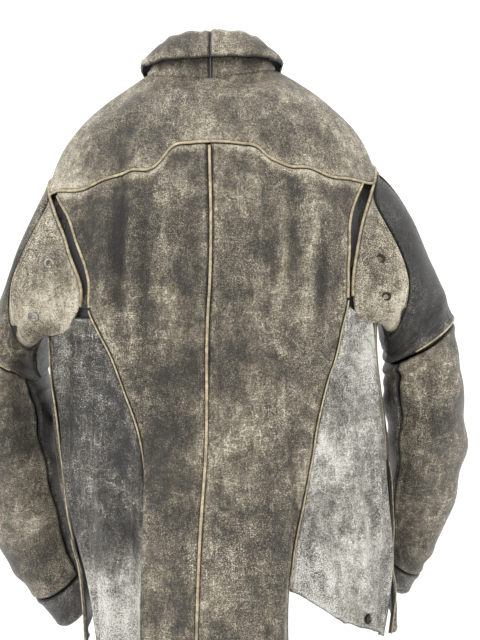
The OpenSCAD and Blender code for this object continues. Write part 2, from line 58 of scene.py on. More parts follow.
# ------------------------------------------------------------------ curves, as in the CAD source
HALF = [(-30, 90), (0, 138), (35, 182), (80, 220), (130, 243), (190, 254), (400, 245), (540, 248),
        (700, 236), (840, 228)]
CENTRE = [(-30, 0), (190, 3), (400, 4), (540, 17), (700, 36), (840, 46)]
BACK = [(-30, 50), (0, 58), (35, 78), (80, 95), (130, 106), (190, 112), (350, 118), (540, 126),
        (700, 134), (840, 140)]
FRONT = [(-30, 60), (0, 72), (35, 92), (80, 108), (130, 118), (190, 120), (230, 120), (840, 120)]
NECK = [(0, 0), (60, -20), (90, -27), (120, -16), (150, 15), (180, 48)]
YOKE = [(-90, 122), (-80, 132), (-70, 153), (-57, 155), (-40, 159), (-31, 149), (-22, 141),
        (-13, 134), (-9, 111), (-4, 107), (8, 111), (12, 115), (16, 131), (22, 142), (30, 146),
        (37, 156), (46, 158), (70, 153), (80, 132), (90, 122)]
SEAM = [(100, 0), (320, 0), (512, -2), (700, -8), (840, -11)]
BACK_EDGE = {
    -1: [(150, 62), (200, 47), (236, 42), (284, 37), (330, 37), (350, 34), (388, 29), (420, 26),
         (480, 21), (530, 19.6), (620, 22.5), (700, 25.2), (840, 26.8)],
    1: [(150, 59), (200, 47), (268, 45), (330, 45.5), (360, 43.5), (406, 40), (430, 36), (482, 30),
        (535, 26), (590, 21.5), (640, 17.5), (700, 14.5), (840, 12.7)],
}
SIDE_EDGE = {
    -1: [(322, 44), (340, 48), (350, 62), (360, 66.5), (364, 67), (368, 67), (460, 62), (560, 61), (650, 59),
         (840, 57)],
    1: [(322, 48.5), (340, 51), (350, 64), (360, 67.5), (364, 68), (368, 68.3), (430, 72), (520, 70),
        (630, 68),
        (840, 58)],
}
SIDE_HEM = {
    -1: [(10, 798), (60, 800)],
    1: [(10, 694), (15, 702), (26, 731), (39, 760), (48, 771), (60, 796)],
}
VENT_EDGE = {
    -1: [(358, 67.8), (368, 67.7), (460, 62.8), (560, 61.8), (640, 61.2), (700, 66), (840, 66)],
    1: [(358, 68.8), (368, 69.1), (430, 72.8), (520, 71.6), (560, 74), (610, 79), (660, 77), (740, 67),
        (840, 62)],
}
ARM_FRONT = [(200, 115.5), (240, 115.5), (280, 113), (312, 107), (336, 97), (350, 82), (358, 72)]
FRONT_YOKE_LOW = [(90, 122), (100, 132), (108, 152), (114, 190), (120, 200), (180, 200)]
HOLE_U = {
    -1: [(-20, 40.5), (0, 46.5), (45, 66), (90, 90), (135, 107), (180, 115), (225, 107), (270, 80),
         (315, 46.5), (340, 40.5), (360, 46.5), (405, 66)],
    1: [(-20, 47.5), (0, 50), (45, 66), (90, 90), (135, 107), (180, 115), (225, 107), (270, 80),
        (315, 51), (340, 47.5), (360, 50), (405, 66)],
}
HOLE_H = [(-20, 295), (0, 240), (45, 160), (90, 122), (135, 156), (180, 235), (225, 312),
          (270, 352), (315, 346), (340, 295), (360, 240), (405, 160)]
SLEEVE = {
    1: {"ox": [(0, 244), (0.12, 286), (0.25, 326), (0.4, 358), (0.5, 376), (0.64, 389), (0.77, 379),
               (0.9, 352), (1, 327)],
        "oz": [(0, -118), (0.12, -170), (0.25, -258), (0.4, -343), (0.5, -420), (0.64, -516),
               (0.77, -608), (0.9, -715), (1, -785)],
        "ix": [(0, 262), (0.12, 262), (0.25, 262), (0.4, 267), (0.5, 267), (0.64, 273), (0.77, 278),
               (0.9, 276), (1, 262)],
        "iz": [(0, -345), (0.12, -366), (0.25, -385), (0.4, -412), (0.5, -444), (0.64, -512),
               (0.77, -590), (0.9, -690), (1, -752)],
        "y": [(0, 48), (0.12, 48), (0.25, 48), (0.4, 50), (0.5, 52), (0.64, 62), (0.77, 84),
              (0.9, 118), (1, 142)],
        "r": [(0, 84), (0.12, 82), (0.25, 78), (0.4, 74), (0.5, 68), (0.64, 62), (0.77, 58),
              (0.9, 52), (1, 48)]},
    -1: {"ox": [(0, -244), (0.12, -262), (0.25, -290), (0.4, -325), (0.5, -343), (0.64, -356),
                (0.77, -353), (0.9, -318), (1, -262)],
         "oz": [(0, -140), (0.12, -200), (0.25, -286), (0.4, -376), (0.5, -448), (0.64, -540),
                (0.77, -640), (0.9, -748), (1, -835)],
         "ix": [(0, -257), (0.12, -259), (0.25, -260), (0.4, -257), (0.5, -247), (0.64, -239),
                (0.77, -233), (0.9, -223), (1, -198)],
         "iz": [(0, -366), (0.12, -384), (0.25, -402), (0.4, -434), (0.5, -470), (0.64, -540),
                (0.77, -622), (0.9, -716), (1, -803)],
         "y": [(0, 46), (0.12, 42), (0.25, 38), (0.4, 42), (0.5, 48), (0.64, 58), (0.77, 84),
               (0.9, 118), (1, 140)],
         "r": [(0, 84), (0.12, 84), (0.25, 86), (0.4, 80), (0.5, 74), (0.64, 66), (0.77, 60),
               (0.9, 54), (1, 49)]},
}
GUSSET = {
    -1: [(-82, 0.02), (-74, 0.14), (-62, 0.19), (-38, 0.205), (-12, 0.198), (4, 0.178), (18, 0.13),
         (34, 0.07), (48, 0.012)],
    1: [(-82, 0.02), (-74, 0.12), (-62, 0.165), (-40, 0.175), (-20, 0.165), (-4, 0.14), (12, 0.1), (28, 0.05),
        (48, 0.012)],
}
GUSSET_TOP = 48
NOTCH = {-1: -30, 1: -34}
FOLD_Z = [(0, 64), (30, 63), (60, 55), (90, 44), (120, 24), (150, -8), (180, -36)]
LEAF_Z = [(0, 24), (45, 29), (90, 36), (120, 16), (150, -38), (172, -70), (180, -72)]
BACK_LENGTH, FRONT_LENGTH = 815, 795
LEATHER, CLOTH = 2.0, 1.0
FRONT_HINGE, FRONT_EDGE, YOKE_FRONT = 125, 177, 200
ELBOW, CUFF = 0.4, 0.94
SLOPE, DEPTH, ROUND = 0.04, 52, 0.85
LIP_LEFT, LIP_RIGHT = 9, 5


def curve(tab, x):
    """A smooth curve through a table's points, at every x."""
    xs, ys = np.array(tab, float).T
    x = np.clip(x, xs[0], xs[-1])
    w = np.diff(xs)
    rise = np.diff(ys) / w
    m = np.empty(len(xs))
    m[1:-1] = (rise[1:] * w[:-1] + rise[:-1] * w[1:]) / (w[1:] + w[:-1])
    m[0], m[-1] = rise[0], rise[-1]
    i = np.clip(np.searchsorted(xs, x, side="right") - 1, 0, len(xs) - 2)
    t = (x - xs[i]) / w[i]
    return ((2 * t**3 - 3 * t**2 + 1) * ys[i] + (t**3 - 2 * t**2 + t) * w[i] * m[i]
            + (3 * t**2 - 2 * t**3) * ys[i + 1] + (t**3 - t**2) * w[i] * m[i + 1])


def smooth(low, high, x):
    t = np.clip((np.asarray(x, float) - low) / (high - low), 0, 1)
    return t * t * (3 - 2 * t)


def mix(a, b, t):
    return a + (b - a) * t


def sin(a):
    return np.sin(np.radians(a))


def cos(a):
    return np.cos(np.radians(a))


def bend(v):
    return np.sign(v) * np.abs(v) ** ROUND


def hump(x, middle, width):
    """A soft bump of height 1."""
    return np.exp(-(((x - middle) / width) ** 2))


# ------------------------------------------------------------------ surfaces, in millimetres
def body_base(u, h):
    hf = np.maximum(h, 190)
    k = smooth(88, 118, np.abs(u)) * smooth(150, 195, h)
    xc = curve(CENTRE, h)
    a = curve(HALF, h) * np.where(u > 0, 1, -1)
    front_side = np.where(u > 0, 257 + (h - 190) * 0.025, -251 + (h - 190) * 0.06)
    side = mix(xc + a, front_side, k)
    mid = mix(xc, 3 + (hf - 190) * 0.0425, k)
    deep = np.where(cos(u) > 0, curve(BACK, h), curve(FRONT, h))
    x = mid + (side - mid) * np.abs(sin(u)) ** ROUND
    return np.stack([x, DEPTH - bend(cos(u)) * deep, SLOPE * x - h], -1)


def column(u, h):
    v = np.abs(u + 7 * smooth(520, 760, h))
    out = 24 * (1 - smooth(16.2, 19.2, v)) - 8 * hump(v, 27, 8) + 3 * hump(v, 15.2, 2.2)
    return smooth(430, 620, h) * out


# Upright folds below and above the yoke seam: angle, drop, half-width, half-height, height in millimetres
UPRIGHT = [(-31, 250, 3, 90, 3), (-25, 270, 2.6, 150, -5), (-20.5, 300, 2.2, 160, 2),
           (-16, 260, 2, 110, -2.5),
           (-10, 300, 3, 150, 1.6), (15, 260, 2, 130, -2.6), (18.5, 280, 2, 140, 1.6),
           (22.5, 250, 2.2, 120, -4.5),
           (28, 300, 3, 120, 2.6), (33, 290, 2, 90, -3), (38, 320, 3, 90, 2), (-29, 110, 3.5, 45, -3),
           (-21, 115, 3, 40, 1.5), (20, 110, 3.5, 45, -2.6), (44, 100, 5, 50, 1.8), (-48, 100, 6, 55, 2)]


def uprights(u, h):
    return sum(high * hump(u, at, wide) * hump(h, drop, tall) for at, drop, wide, tall, high in UPRIGHT)


def drape(u, h):
    """Soft folds of the hanging leather on the body, in millimetres."""
    low = smooth(300, 760, h)
    back = smooth(100, 60, np.abs(u))
    d = uprights(u, h)
    d += 1.2 * np.sin(u * 0.55 + h * 0.004) * back * smooth(140, 260, h)
    # diagonal pulls from the underarm to the waist
    d += 2.2 * np.sin((h + 3.2 * np.abs(u)) * 0.055) * hump(np.abs(u), 42, 14) * hump(h, 430, 120)
    # the column's own folds
    d += low * 1.6 * np.sin(h * 0.021 + u * 0.14) * hump(u, -4, 14)
    # the side-back pieces ripple towards the hem
    side = smooth(22, 34, np.abs(u)) * smooth(80, 66, np.abs(u)) * smooth(420, 700, h)
    d += side * (5 * np.sin(u * 0.33 - h * 0.012 * np.sign(u) + 1.2) + 1.6 * np.sin(u * 0.9 + h * 0.02))
    # a soft upright fold beside each side seam
    d += 6 * hump(np.abs(u), 64, 4) * hump(h, 450, 90) - 3 * hump(np.abs(u), 56, 4) * hump(h, 460, 100)
    # ripples at the shoulders and across the yoke
    top = smooth(150, 60, h)
    d += top * 0.9 * np.sin(u * 0.21 + h * 0.05) * smooth(8, 30, np.abs(u))
    # the unseen front hangs almost flat
    front = smooth(100, 130, np.abs(u)) * smooth(200, 320, h)
    d += front * 2.4 * np.sin(np.abs(u) * 0.19 + h * 0.009) * smooth(178, 168, np.abs(u))
    return d


def body(u, h, d=0.0, fold=1.0):
    u, h = np.broadcast_arrays(np.asarray(u, float), np.asarray(h, float))
    across = body_base(u + 0.5, h) - body_base(u - 0.5, h)
    down = body_base(u, h + 2) - body_base(u, h - 2)
    n = np.cross(down, across)
    n /= np.linalg.norm(n, axis=-1, keepdims=True)
    lift = d + fold * column(u, h) + drape(u, h) * mix(0.4, 1, fold)
    p = body_base(u, h) + n * np.asarray(lift)[..., None]
    v = u + 7 * smooth(520, 760, h)
    p[..., 0] += fold * smooth(430, 540, h) * (LIP_RIGHT * hump(v, 16.2, 2) - LIP_LEFT * hump(v, -16.2, 2))
    return p


def sleeve_folds(side, phi, k):
    """Creases of a hanging sleeve, in millimetres. phi is 0 at the back and 90 outside."""
    q = phi
    d = 3.4 * np.sin(k * 95 + 2.2 * sin(q)) * hump(k, 0.4, 0.09) * smooth(-1.2, 0.6, -sin(q) + 0.4)
    d += 3.2 * np.sin(k * 48 + 3 * cos(q)) * hump(k, 0.66, 0.16)
    d += 1.4 * np.sin(k * 110 - 2 * sin(q)) * hump(k, 0.9, 0.05)
    d += 2.5 * np.sin(q * 0.05 + k * 14) * smooth(0.16, 0.3, k) * smooth(0.95, 0.85, k)
    d -= 5 * hump(q, -38, 16) * hump(k, 0.5, 0.12)
    if side < 0:
        d += (7 * hump(k, 0.36, 0.03) * smooth(-0.2, 0.8, cos(q))
              - 9 * hump(k, 0.425, 0.022) * smooth(-0.2, 0.8, cos(q)))
    return d


def sleeve_ring(side, phi, k, d):
    c = SLEEVE[side]
    outer = np.stack([curve(c["ox"], k), 0 * k, curve(c["oz"], k)], -1)
    inner = np.stack([curve(c["ix"], k), 0 * k, curve(c["iz"], k)], -1)
    y, deep = curve(c["y"], k), curve(c["r"], k)
    span = np.linalg.norm(outer - inner, axis=-1)
    out = (outer - inner) / span[..., None]
    lean = 0.35 * smooth(0.5, 0.9, k)
    reach = side * sin(phi) * (span / 2 + d)
    back = cos(phi) * (deep + d)
    p = (outer + inner) / 2 + out * reach[..., None]
    p[..., 1] += y - back
    p[..., 2] -= lean * back
    return p


def armhole(side, phi, d):
    w = (side * phi) % 360
    p = body(side * curve(HOLE_U[side], w), curve(HOLE_H, w), 1.2)
    v = p - np.array([side * 246.0, DEPTH, -240.0])
    v /= np.linalg.norm(v, axis=-1, keepdims=True)
    return p + v * (np.asarray(d) - 0.6)[..., None]


def sleeve(side, phi, k, d=0.0, folds=1.0):
    phi, k = np.broadcast_arrays(np.asarray(phi, float), np.asarray(k, float))
    lift = d + folds * sleeve_folds(side, side * phi, k) * smooth(0.02, 0.12, k)
    w = smooth(0, 0.16, k)[..., None]
    return mix(armhole(side, phi, d + 0 * k), sleeve_ring(side, phi, k, lift), w)


def neck_at(u):
    return body(u, curve(NECK, np.abs(u)), -0.5)


def fold_at(u):
    x = 88 * bend(sin(u))
    y = DEPTH - np.where(cos(u) > 0, 55, 88) * bend(cos(u))
    return np.stack([x, y, curve(FOLD_Z, np.abs(u)) + SLOPE * x], -1)


def leaf_edge(u):
    x = 107 * bend(sin(u))
    y = DEPTH - np.where(cos(u) > 0, 66, 118) * bend(cos(u))
    return np.stack([x, y, curve(LEAF_Z, np.abs(u)) + SLOPE * x], -1)


# ------------------------------------------------------------------ mesh makers
def add_mesh(name, verts, faces, material, attributes=None):
    mesh = bpy.data.meshes.new(name)
    mesh.from_pydata((np.asarray(verts) * MM).tolist(), [], faces)
    mesh.update()
    for key, values in (attributes or {}).items():
        layer = mesh.attributes.new(key, "FLOAT", "POINT")
        layer.data.foreach_set("value", np.asarray(values, np.float32).ravel())
    mesh.polygons.foreach_set("use_smooth", [True] * len(mesh.polygons))
    mesh.materials.append(material)
    piece = bpy.data.objects.new(name, mesh)
    bpy.context.scene.collection.objects.link(piece)
    return piece


def grid_normals(p):
    ds = np.gradient(p, axis=1)
    dt = np.gradient(p, axis=0)
    n = np.cross(dt, ds)
    return n / (np.linalg.norm(n, axis=-1, keepdims=True) + 1e-9)


def lengths(p):
    """Distances in millimetres from each point of a grid to its left, right, top and bottom edges."""
    across = np.concatenate([0 * p[:, :1, 0], np.cumsum(np.linalg.norm(np.diff(p, axis=1), axis=-1), 1)], 1)
    down = np.concatenate([0 * p[:1, :, 0], np.cumsum(np.linalg.norm(np.diff(p, axis=0), axis=-1), 0)], 0)
    return across, across[:, -1:] - across, down, down[-1:] - down


def grid_area(p):
    a = p[1:, 1:] - p[:-1, :-1]
    b = p[1:, :-1] - p[:-1, 1:]
    return float(np.linalg.norm(np.cross(a, b), axis=-1).sum() / 2)


def sheet(name, p, thick, material, seams="lrtb", tone=None, roll=1.3, held_to=None, worn=0.5):
    """A closed sheet from a grid of outer points, rolled in at its seams, with wear along them and a painted
    shade right at them.
    """
    dist = dict(zip("lrtb", lengths(p)))
    edge = np.full(p.shape[:2], 1e3)
    for key in seams:
        edge = np.minimum(edge, dist[key])
    n = grid_normals(p)
    dip = roll * (-1.6 * np.exp(-((edge / 2.6) ** 2)) + 0.8 * hump(edge, 6.5, 3.4))
    stitched = -0.5 * hump(edge, 9.5, 1.2)
    outer = p + n * (dip + stitched)[..., None]
    inner = p - n * thick + n * np.minimum(dip, 0)[..., None]
    rows, cols = p.shape[:2]
    at = np.arange(rows * cols).reshape(rows, cols)
    a, b, c, d = at[:-1, :-1], at[:-1, 1:], at[1:, 1:], at[1:, :-1]
    faces = np.stack([a, d, c, b], -1).reshape(-1, 4)
    back = np.stack([a, b, c, d], -1).reshape(-1, 4) + rows * cols
    rim = np.concatenate([at[0, :], at[1:, -1], at[-1, -2::-1], at[-2:0:-1, 0]])
    nxt = np.roll(rim, -1)
    k = rows * cols
    side = np.stack([rim, nxt, nxt + k, rim + k], -1)
    wear = worn * np.exp(-((edge / 7) ** 2)) + 0.35 * worn * hump(edge, 11, 3)
    shade = np.zeros(p.shape[:2]) if tone is None else tone
    # painted shade in the last 2 mm before each seam, for the shadow of the seam's step
    deep = np.exp(-((edge / 1.8) ** 2))
    attributes = {"wear": np.concatenate([wear.ravel(), 0 * wear.ravel()]),
                  "tone": np.concatenate([shade.ravel(), shade.ravel() * 0]),
                  "seam_shade": np.concatenate([deep.ravel(), 0 * deep.ravel()])}
    piece = add_mesh(name, np.concatenate([outer.reshape(-1, 3), inner.reshape(-1, 3)]),
                     np.concatenate([faces, back, side]).tolist(), material, attributes)
    width = float(dist["l"][:, -1].max()) * MM
    length = float(dist["t"][-1].max()) * MM
    area = min(grid_area(p) * MM * MM, width * length)
    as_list(held_to or [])
    return piece


def tube(name, path, out, width, height, material, sides=8, sink=0.5, rough=0.0, ends=True):
    """A raised bead along a path; out is the outward direction at each point."""
    along = np.gradient(path, axis=0)
    along /= np.linalg.norm(along, axis=-1, keepdims=True)
    across = np.cross(along, out)
    across /= np.linalg.norm(across, axis=-1, keepdims=True)
    count = len(path)
    wob = 1 + rough * rng.standard_normal(count)[:, None]
    ring = []
    for i in range(sides):
        a = 2 * math.pi * i / sides
        ring.append(path + across * (width / 2 * math.cos(a)) * wob + out
                    * (height / 2 * (1 + math.sin(a)) * wob - sink))
    verts = np.stack(ring, 1).reshape(-1, 3)
    at = np.arange(count * sides).reshape(count, sides)
    a, b = at[:-1], at[1:]
    faces = np.stack([a, np.roll(a, -1, 1), np.roll(b, -1, 1), b], -1).reshape(-1, 4).tolist()
    if ends:
        faces.append(at[0][::-1].tolist())
        faces.append(at[-1].tolist())
    wear = np.tile((0.5 + 0.5 * np.sin(2 * np.pi * np.arange(sides) / sides))[None], (count, 1))
    return add_mesh(name, verts, faces, material, {"wear": wear})


def resample(path, out, pitch):
    step = np.linalg.norm(np.diff(path, axis=0), axis=-1)
    s = np.concatenate([[0], np.cumsum(step)])
    q = np.arange(pitch / 2, s[-1] - pitch / 2, pitch)
    p = np.stack([np.interp(q, s, path[:, i]) for i in range(3)], -1)
    o = np.stack([np.interp(q, s, out[:, i]) for i in range(3)], -1)
    t = np.stack([np.interp(q, s, np.gradient(path[:, i], s)) for i in range(3)], -1)
    o /= np.linalg.norm(o, axis=-1, keepdims=True)
    t /= np.linalg.norm(t, axis=-1, keepdims=True)
    return p, o, t


def stitch_mesh(rows, pitch=3.6, long=2.5, wide=0.75, high=0.55):
    """Vertices and faces of stitches along rows of (path, outward direction)."""
    verts, faces = [], []
    for path, out in rows:
        p, o, t = resample(path, out, pitch)
        c = np.cross(t, o)
        for i in range(len(p)):
            base = len(verts)
            for along, half in ((-0.5, 0.25), (-0.3, 1), (0.3, 1), (0.5, 0.25)):
                m = p[i] + t[i] * long * along
                verts += [m + c[i] * wide * half / 2, m + o[i] * high * half, m - c[i] * wide * half / 2]
            for j in range(3):
                for e in range(3):
                    a, b = base + 3 * j + e, base + 3 * j + (e + 1) % 3
                    faces.append((a, b, b + 3, a + 3))
            faces += [(base + 2, base + 1, base), (base + 9, base + 10, base + 11)]
    return verts, faces


# ------------------------------------------------------------------ materials
class Graph:
    """Short names for building a node material."""

    def __init__(self, name):
        self.mat = bpy.data.materials.new(name)
        self.mat.use_nodes = True
        self.tree = self.mat.node_tree
        self.shader = self.tree.nodes["Principled BSDF"]
        self.place = self.tree.nodes.new("ShaderNodeTexCoord").outputs["Object"]

    def put(self, socket, value):
        if isinstance(value, bpy.types.NodeSocket):
            self.tree.links.new(value, socket)
        else:
            socket.default_value = value

    def math(self, kind, a, b=0.0):
        node = self.tree.nodes.new("ShaderNodeMath")
        node.operation = kind
        self.put(node.inputs[0], a)
        self.put(node.inputs[1], b)
        return node.outputs[0]

    def scaled(self, x, y, z):
        node = self.tree.nodes.new("ShaderNodeMapping")
        self.put(node.inputs["Vector"], self.place)
        node.inputs["Scale"].default_value = (x, y, z)
        return node.outputs[0]

    def noise(self, scale, detail=4.0, rough=0.55, where=None, twist=0.0):
        node = self.tree.nodes.new("ShaderNodeTexNoise")
        self.put(node.inputs["Vector"], where or self.place)
        node.inputs["Scale"].default_value = scale
        node.inputs["Detail"].default_value = detail
        node.inputs["Roughness"].default_value = rough
        node.inputs["Distortion"].default_value = twist
        return node.outputs["Fac"]

    def cells(self, scale):
        node = self.tree.nodes.new("ShaderNodeTexVoronoi")
        node.feature = "DISTANCE_TO_EDGE"
        self.put(node.inputs["Vector"], self.place)
        node.inputs["Scale"].default_value = scale
        return node.outputs["Distance"]

    def thin_line(self, value, width):
        """1 where a texture crosses its middle value, 0 elsewhere: fine scratches."""
        return self.spread(self.math("ABSOLUTE", self.math("SUBTRACT", value, 0.5)), 0.0, width, 1.0, 0.0)

    def attribute(self, name):
        node = self.tree.nodes.new("ShaderNodeAttribute")
        node.attribute_name = name
        return node.outputs["Fac"]

    def spread(self, value, low, high, to_low=0.0, to_high=1.0):
        node = self.tree.nodes.new("ShaderNodeMapRange")
        self.put(node.inputs["Value"], value)
        for key, number in zip(("From Min", "From Max", "To Min", "To Max"), (low, high, to_low, to_high)):
            node.inputs[key].default_value = number
        return node.outputs["Result"]

    def total(self, *terms):
        """The sum of (socket, weight) pairs."""
        out = 0.0
        for value, weight in terms:
            out = self.math("ADD", self.math("MULTIPLY", value, weight), out)
        return out

    def ramp(self, value, *stops):
        node = self.tree.nodes.new("ShaderNodeValToRGB")
        self.put(node.inputs["Fac"], value)
        band = node.color_ramp.elements
        while len(band) < len(stops):
            band.new(1.0)
        for point, (at, colour) in zip(band, stops):
            point.position = at
            point.color = (*[linear(c) for c in colour], 1)
        return node.outputs["Color"]

    def bump(self, height, distance, strength=1.0):
        node = self.tree.nodes.new("ShaderNodeBump")
        self.put(node.inputs["Height"], height)
        node.inputs["Distance"].default_value = distance
        node.inputs["Strength"].default_value = strength
        self.tree.links.new(node.outputs["Normal"], self.shader.inputs["Normal"])

    def finish(self, colour, rough, metal=0.0, sheen=0.0, coat=0.0):
        self.put(self.shader.inputs["Base Color"], colour)
        self.put(self.shader.inputs["Roughness"], rough)
        self.shader.inputs["Metallic"].default_value = metal
        self.shader.inputs["Sheen Weight"].default_value = sheen
        self.shader.inputs["Coat Weight"].default_value = coat
        self.shader.inputs["Coat Roughness"].default_value = 0.35
        return self.mat


def linear(c):
    c /= 255
    return c / 12.92 if c < 0.04045 else ((c + 0.055) / 1.055) ** 2.4


# Worn leather, from the black finish through the taupe hide to the bare edges
HIDE = ((0.0, (22, 20, 17)), (0.3, (64, 58, 47)), (0.5, (108, 100, 84)), (0.68, (152, 143, 123)),
        (0.84, (190, 181, 161)), (1.0, (222, 213, 192)))
COOL_HIDE = ((0.0, (20, 20, 19)), (0.3, (60, 58, 53)), (0.5, (104, 101, 93)), (0.68, (150, 147, 137)),
             (0.84, (190, 188, 179)), (1.0, (226, 225, 217)))


def leather_material(name, colours=HIDE, contrast=1.0):
    """tone sets how light a place is, from its wear and colour and in places from painted sheen and shade;
    wear lightens it; painted shade darkens it along the seams.
    """
    g = Graph(name)
    patches = g.noise(9, 5, 0.6, twist=0.5)
    blotches = g.noise(42, 7, 0.7, twist=1.1)
    grain = g.noise(380, 5, 0.75)
    pebbled = g.spread(g.noise(7, 3, 0.5), 0.4, 0.62, 0.45, 1.3)
    rubbed = g.noise(26, 9, 0.75, g.scaled(3.0, 3.0, 0.9), 0.3)
    across = g.noise(16, 3, 0.5, g.scaled(1.2, 1.2, 7.5), 0.9)
    upright = g.noise(20, 3, 0.5, g.scaled(6.0, 3.0, 0.8), 0.7)
    cracks = g.cells(400)
    pebbles = g.cells(520)
    scratch = g.math("MAXIMUM", g.thin_line(across, 0.016), g.thin_line(upright, 0.013))
    bare = g.spread(patches, 0.42, 0.62)
    value = g.total((g.attribute("tone"), 1.0), (g.math("SUBTRACT", patches, 0.5), 0.9 * contrast),
                    (g.math("SUBTRACT", blotches, 0.5), 0.85 * contrast),
                    (g.math("SUBTRACT", rubbed, 0.5), 0.9 * contrast),
                    (g.math("SUBTRACT", grain, 0.5), 1.15), (g.attribute("wear"), 0.34),
                    # painted shade along the seams, standing for the shadow of each seam's step
                    (g.attribute("seam_shade"), -0.6),
                    (g.math("MULTIPLY", scratch, bare), 0.36),
                    (g.math("MULTIPLY", g.spread(cracks, 0.0, 0.16, -1, 0), pebbled), 0.42 * contrast),
                    (g.spread(pebbles, 0.0, 0.16, -1, 0), 0.16), (1.0, 0.07))
    colour = g.ramp(value, *colours)
    rough = g.spread(value, 0.0, 1.0, 0.34, 0.66)
    height = g.total((g.spread(cracks, 0.0, 0.22), 0.7), (g.spread(pebbles, 0.0, 0.2), 0.35), (grain, 0.8),
                     (blotches, 1.8), (rubbed, 1.2))
    g.bump(height, 0.0013, 0.8)
    return g.finish(colour, rough, coat=0.12)


def cloth_material(name, dark, light, pitch, sheen):
    g = Graph(name)
    weave = g.math("MULTIPLY", g.math("SINE", g.noise(pitch, 0, 0, g.scaled(1, 1, 2.2))), 1.0)
    value = g.total((weave, 0.5), (g.noise(24, 4), 0.5))
    g.bump(g.total((g.noise(pitch, 2), 1.0)), 0.0003)
    return g.finish(g.ramp(value, (0.2, dark), (0.8, light)), g.spread(value, 0, 1, 0.38, 0.62), sheen=sheen)


def metal_material(name, dark, light, rough):
    g = Graph(name)
    value = g.total((g.noise(160, 6, 0.7), 0.7), (g.noise(900, 3), 0.3))
    g.bump(value, 0.0002, 0.5)
    return g.finish(g.ramp(value, (0.32, dark), (0.62, light)), g.spread(value, 0.3, 0.7, rough + 0.2, rough),
                    1.0)


def piping_material():
    g = Graph("piping")
    worn = g.noise(60, 7, 0.75, twist=0.7)
    cracks = g.noise(260, 5, 0.7)
    value = g.total((worn, 0.85), (cracks, 0.35), (g.attribute("wear"), 0.3))
    g.bump(g.total((worn, 1.0), (cracks, 1.0)), 0.0007)
    colour = g.ramp(value, (0.5, (44, 39, 33)), (0.66, (92, 83, 67)), (0.84, (150, 137, 111)),
                    (1.0, (192, 178, 148)))
    return g.finish(colour, g.spread(value, 0.3, 1, 0.55, 0.7))


def thread_material():
    g = Graph("thread")
    value = g.noise(70, 5, 0.7)
    colour = g.ramp(value, (0.3, (44, 41, 37)), (0.52, (88, 82, 72)), (0.75, (156, 146, 126)))
    return g.finish(colour, 0.7, sheen=0.3)


LEATHER_SKIN = leather_material("worn leather")
COOL_SKIN = leather_material("cool worn leather", COOL_HIDE)
# a leather darkened as painted shade, for the pleat grooves and the inside of the neck
SHADE_SKIN = leather_material("painted shade leather", COOL_HIDE, 0.75)
PIPING = piping_material()
THREAD = thread_material()
LINING = cloth_material("satin lining", (17, 16, 18), (40, 38, 42), 2600, 0.4)
TAPE = cloth_material("zip tape", (20, 19, 17), (52, 49, 43), 1500, 0.2)
BRASS = metal_material("tarnished brass", (70, 62, 46), (176, 158, 116), 0.32)
NICKEL = metal_material("worn nickel", (84, 82, 78), (186, 184, 178), 0.26)
BLACKENED = metal_material("blackened snap", (22, 21, 20), (74, 70, 65), 0.35)


# ------------------------------------------------------------------ how the pieces move
SIDES = {"right": 1, "left": -1}
SHOULDER = {1: (0.246, 0.26), -1: (0.24, 0.25)}
FRONT_BEND, ELBOW_BEND = 0.015, 0.15
JOINTS = {joint["name"]: joint for joint in frame["joints"]}


def past(joint, length):
    """Where a bend starts and ends: at the joint, then square to its axis, along the part that moves."""
    at = Vector(JOINTS[joint]["pos_m"])
    x, _, z = JOINTS[joint]["axis"]
    return at, at + Vector((z, 0, -x)) * length


BLENDS = {}
for name, side in SIDES.items():
    ends = [(side * reach, 0, -0.2) for reach in SHOULDER[side]]
    BLENDS["sleeve", side] = ("torso", f"{name}_sleeve", *ends)
    BLENDS["forearm", side] = (f"{name}_sleeve", f"{name}_forearm", *past(f"{name}_elbow_bend", ELBOW_BEND))
    BLENDS["front", side] = ("torso", f"{name}_front", *past(f"{name}_front_open", FRONT_BEND))


def moves(piece, part, side=0):
    """part is the name of a body, or of a blend on one side."""
    if (part, side) in BLENDS:
        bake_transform(piece)
    else:
        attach(piece, part)


def soft(name, p, thick, material, part, side=0, slot="leather", **more):
    piece = sheet(name, p, thick, material, **more)
    moves(piece, part, side)
    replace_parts(piece, name)
    return piece


def between(left, right, top, low, n, m):
    """Angles and drops of a grid between two seams, which are functions of the drop, and two ends."""
    s, t = np.meshgrid(np.linspace(0, 1, n + 1), np.linspace(0, 1, m + 1))
    h = mix(np.full_like(s, 200), 700, t)
    for _ in range(5):
        u = mix(left(h), right(h), s)
        h = mix(top(u), low(np.abs(u)), t)
    return mix(left(h), right(h), s), h


def flat(value):
    return lambda u: 0 * u + value


def blobs(u, h, base, spots, folds=0.0):
    """A tone field: base plus spots (u, h, width, height, amount), with a painted highlight on the fold tops
    and painted shade in the hollows.
    """
    out = np.full(np.shape(u), float(base)) + folds * uprights(u, h)
    for cu, ch, wu, wh, amount in spots:
        out += amount * hump(u, cu, wu) * hump(h, ch, wh)
    return out


ROWS = {}


def stitched(key, path, out):
    """Remembers a row of stitches for the group key = (part, side)."""
    ROWS.setdefault(key, []).append((path, out))


def on_body(u, h, d=0.25):
    p = body(u, h, d)
    out = body(u, h, d + 3) - p
    return p, out / np.linalg.norm(out, axis=-1, keepdims=True)


def on_sleeve(side, phi, k, d=0.25):
    p = sleeve(side, phi, k, d)
    out = sleeve(side, phi, k, d + 3) - p
    return p, out / np.linalg.norm(out, axis=-1, keepdims=True)


